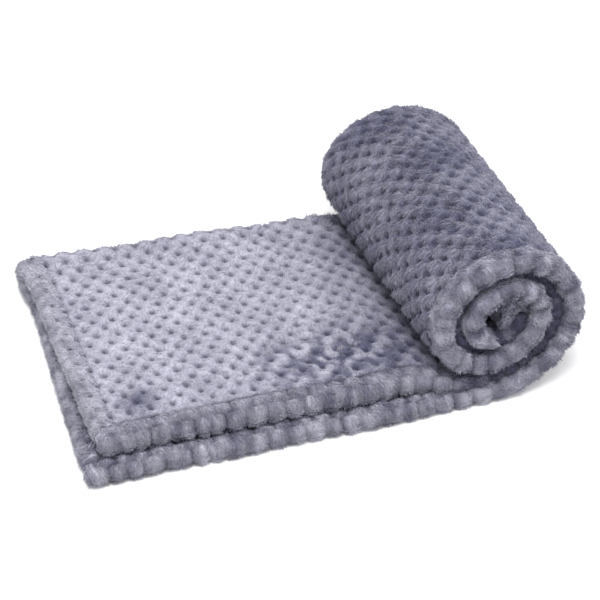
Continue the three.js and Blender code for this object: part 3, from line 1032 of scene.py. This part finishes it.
def hem_pit_shade(kind, path, width, run, inset):
    """Painted shade in the creases between the bumps, in the tufts' pits and along the seam."""
    crease = (1 - hem_bumps(run, inset)) * smooth((HEM_WIDTH + 2 * MM - inset) / (4 * MM))
    pit = np.clip(crease, 0, 1) ** 1.3 * hem_boldness(kind, path, width)
    if kind == "end":
        pit = np.maximum(0.7 * pit, end_hem_pits(path, width, inset))
    else:
        pit = pit + seam_crease_shade(inset, HEM_WIDTH, run)
    return np.clip(pit, 0, 1)


def hem_looks(kind):
    def looks(run, inset):
        path, width = hem_place(kind, run, inset)
        nap_sheen = hem_nap_sheen(kind, path, width, upper_share(width))
        at_seam = smooth((inset - HEM_WIDTH + 14 * MM) / (12 * MM))
        nap_sheen = nap_sheen + (nap_shade(path, width) - nap_sheen) * at_seam * np.where(path < FOOT_END, 1, 0.3)
        return path, width, nap_sheen, hem_pit_shade(kind, path, width, run, inset), hem_cloth
    return looks


def curl_looks(run, width):
    phase = tuft_phase(run + CURL_PHASE_SHIFT, width)
    nap_sheen = CURL_NAP_SHEEN + 0.15 * ripple(run, width, 25 * MM, CURL_NAP_SEED)
    return UPPER_END + run, width, nap_sheen, pit_depth(phase), cloth


def panel(name, shape, path_range, width_range):
    rows = round((width_range[1] - width_range[0]) / GRID)
    return cloth_piece(name, shape, path_range, width_range, GRID, rows, panel_looks)


def hem(name, kind, shape, run_range):
    return cloth_piece(name, shape, run_range, (0, HEM_DEPTH), HEM_GRID, HEM_ROWS, hem_looks(kind),
                       edge_spacing=True)


lower_free_shape = panel_shape([HEM_WIDTH], [LOWER_SEAM])
fold_free_shape = panel_shape([HEM_WIDTH], [])
upper_free_shape = panel_shape([HEM_WIDTH], [UPPER_SEAM])
lower_roll_shape = panel_shape([], [LOWER_SEAM], LOWER_END)
fold_roll_shape = panel_shape([], [], FOLD_LAST, FOLD_ROLL_RELIEF)
upper_roll_shape = panel_shape([], [UPPER_SEAM])
lower_hem_shape = hem_shape("lower", 0, LOWER_END)
upper_hem_shape = hem_shape("upper", 0)
end_hem_shape = hem_shape("end")

lower_free = panel("lower_leaf_free_part", lower_free_shape, FREE, LOWER)
fold_free = panel("back_fold_free_part", fold_free_shape, FREE, FOLD)
upper_free = panel("upper_leaf_free_part", upper_free_shape, FREE, UPPER)
lower_roll = panel("lower_leaf_rolled_part", lower_roll_shape, (FOOT_START, LOWER_END), LOWER)
fold_roll = panel("back_fold_rolled_part", fold_roll_shape, (FOOT_START, FOLD_LAST), FOLD)
upper_roll = panel("upper_leaf_rolled_part", upper_roll_shape, (FOOT_START, UPPER_END), UPPER)
lower_hem_free = hem("lower_side_hem_free_part", "lower", lower_hem_shape, (0, FOOT_START))
upper_hem_free = hem("upper_side_hem_free_part", "upper", upper_hem_shape, (0, FOOT_START))
end_hem = hem("free_end_hem", "end", end_hem_shape, (HEM_WIDTH - 2 * MM, UPPER_SEAM + 2 * MM))
lower_hem_roll = hem("lower_side_hem_rolled_part", "lower", lower_hem_shape, (FOOT_START, LOWER_END))
upper_hem_roll = hem("upper_side_hem_rolled_part", "upper", upper_hem_shape, (FOOT_START, UPPER_END))
curl = cloth_piece("upper_inner_end_curl", curl_shape, (0, CURL_LENGTH), (FOLD_END, CLOTH_WIDTH), GRID,
                   round((CLOTH_WIDTH - FOLD_END) / GRID), curl_looks)

FULL_TURN = float(path_of_turns(1.06))
CORE_START = float(path_of_turns(1.25))
FOOT_PILE_REACH = 30 * MM
CORE_PILE_WIDTH = (LOWER_SEAM, LOWER_SEAM + 50 * MM)
CURL_PILE_WIDTH = (CLOTH_WIDTH - 60 * MM, CLOTH_WIDTH)
SIDE_HEM_PILE = 6 * MM
END_HEM_PILE = 5 * MM


def shaded(looks):
    """The same looks on a face that lies against another layer, with painted shade that deepens towards the
    seam.
    """
    def darker(run, inset):
        path, width, nap_sheen, pit, material = looks(run, inset)
        return path, width, nap_sheen - 0.04 - 0.30 * smooth((inset - 5 * MM) / (9 * MM)), pit, material
    return darker


def both_faces(name, kind, shape, runs, length, seed):
    """Pile on the outer and the inner face of a turned edge."""
    furs = []
    for side, face, looks in ((1, "outer", hem_looks(kind)), (-1, "inner", shaded(hem_looks(kind)))):
        furs.append(pile(name + "_" + face, shape, runs, (0, HEM_WIDTH), side, looks, length, lift=0.48,
                         heading=OUTWARDS, slot="plush_hem", seed=seed + side, density=1.5,
                         turned=1 if kind == "lower" else -1))
    return furs


def goes_with(sheet, flat_length, extras, moving):
    """Hangs a stretch of cloth with its edges and pile on the roll's body, or, for the pieces that move,
    bakes their placement into their meshes.
    """
    for piece in [sheet] + extras:
        if moving:
            bend_over_crease(piece)
        else:
            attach(piece, "roll")


upper_fur = pile("upper_leaf_pile", upper_free_shape, FREE, UPPER, 1, panel_looks, length=4.3 * MM, lift=0.24,
                 heading=TOP_HEADING, slot="plush_panel", seed=101, density=0.94, variety=0.2)
fold_fur = pile("back_fold_pile", fold_free_shape, FREE, FOLD, 1, panel_looks, length=4.8 * MM, lift=0.28,
                heading=TOP_HEADING, slot="plush_panel", seed=102, density=0.92, variety=0.4)
foot_fur = pile("upper_leaf_foot_pile", upper_roll_shape, (FOOT_START, FOOT_END + FOOT_PILE_REACH), UPPER, 1,
                panel_looks, length=4.3 * MM, lift=0.24, heading=TOP_HEADING, slot="plush_panel", seed=103,
                density=1.0, variety=0.2)
roll_right_fur = pile("roll_right_pile", lower_roll_shape, (FOOT_END, HALF_TURN), LOWER, 1, panel_looks,
                      length=4.4 * MM, lift=0.3, heading=ROLL_HEADING, slot="plush_panel", seed=104,
                      cleared=0.97)
roll_left_fur = pile("roll_left_pile", lower_roll_shape, (HALF_TURN, FULL_TURN), LOWER, 1, panel_looks,
                     length=6.2 * MM, lift=0.4, heading=ROLL_HEADING, slot="plush_panel", seed=105,
                     cleared=0.4)
fold_roll_fur = pile("back_fold_roll_pile", fold_roll_shape, (FOOT_START, FOLD_LAST), FOLD, 1, panel_looks,
                     length=5.4 * MM, lift=0.4, heading=ROLL_HEADING, slot="plush_panel", seed=106,
                     density=0.75)
core_fur = pile("core_pile", lower_roll_shape, (CORE_START, LOWER_END), CORE_PILE_WIDTH, -1, panel_looks,
                length=5 * MM, lift=0.4, heading=ROLL_HEADING, slot="plush_panel", seed=107)
curl_furs = [pile("curl_pile_" + face, curl_shape, (0, CURL_LENGTH), CURL_PILE_WIDTH, side, curl_looks,
                  length=5.4 * MM, lift=0.5, heading=-OUTWARDS, slot="plush_panel", seed=110 + side,
                  density=1.3)
             for side, face in ((1, "outer"), (-1, "inner"))]

IN_FRONT = (0, FOOT_START)
ACROSS_END = (HEM_WIDTH, UPPER_SEAM)
LOWER_ROLLED = (FOOT_START, LOWER_END)
UPPER_ROLLED = (FOOT_START, UPPER_END)

lower_edge = [lower_hem_free, end_hem]
lower_edge += both_faces("lower_hem_pile", "lower", lower_hem_shape, IN_FRONT, SIDE_HEM_PILE, 121)
lower_edge += both_faces("end_hem_pile", "end", end_hem_shape, ACROSS_END, END_HEM_PILE, 141)
lower_edge.append(stitches("lower_side_stitches", lower_hem_shape, IN_FRONT, HEM_WIDTH, 1))
lower_edge.append(stitches("free_end_stitches", end_hem_shape, ACROSS_END, HEM_WIDTH, -1))
upper_edge = [upper_hem_free]
upper_edge += both_faces("upper_hem_pile", "upper", upper_hem_shape, IN_FRONT, SIDE_HEM_PILE, 131)
upper_edge.append(stitches("upper_side_stitches", upper_hem_shape, IN_FRONT, HEM_WIDTH, -1))
lower_roll_edge = [lower_hem_roll]
lower_roll_edge += both_faces("lower_hem_roll_pile", "lower", lower_hem_shape, LOWER_ROLLED, SIDE_HEM_PILE,
                              151)
lower_roll_edge.append(stitches("lower_side_roll_stitches", lower_hem_shape, LOWER_ROLLED, HEM_WIDTH, 1))
upper_roll_edge = [upper_hem_roll]
upper_roll_edge += both_faces("upper_hem_roll_pile", "upper", upper_hem_shape, UPPER_ROLLED, SIDE_HEM_PILE,
                              161)
upper_roll_edge.append(stitches("upper_side_roll_stitches", upper_hem_shape, UPPER_ROLLED, HEM_WIDTH, -1))


def cloth_length(last_path, share):
    """Length of the cloth itself from the crease on: lower leaf at share 0, fold between, upper leaf at 1."""
    return float(lattice_along(np.array(last_path), share) - FOOT_START)


FREE_LENGTH = FOOT_START - HEM_WIDTH
lower_roll_furs = [roll_right_fur, roll_left_fur, core_fur]
goes_with(lower_free, FREE_LENGTH, lower_edge, True)
goes_with(fold_free, FREE_LENGTH, [fold_fur], True)
goes_with(upper_free, FREE_LENGTH, [upper_fur] + upper_edge, True)
goes_with(lower_roll, cloth_length(LOWER_END, 0), lower_roll_furs + lower_roll_edge, False)
goes_with(fold_roll, cloth_length(FOLD_LAST, 0.5), [fold_roll_fur], False)
upper_rolled_length = cloth_length(UPPER_END, 1)
goes_with(upper_roll, upper_rolled_length, [foot_fur] + upper_roll_edge, False)
goes_with(curl, CURL_LENGTH, curl_furs, False)

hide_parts(*[node for node in frame["nodes"] if "lower" in node and "free_end" in node])
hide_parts("lower_end_hem", "lower_end_seam_thread", "upper_end_seam_thread",
            "back_fold_end_hem")
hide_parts("back_fold_free_end")
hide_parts("upper_end_hem",
            *[node for node in frame["nodes"] if "upper" in node and "free_end" in node])
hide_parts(*[node for node in frame["nodes"] if "lower" in node and ("roll" in node or "inner" in node)])
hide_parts("back_fold_roll_foot", "back_fold_roll", "back_fold_inner_end_hem")
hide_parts(*[node for node in frame["nodes"] if "upper" in node and "roll" in node])
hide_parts("upper_inner_end_hem", "upper_inner_end_seam_thread")
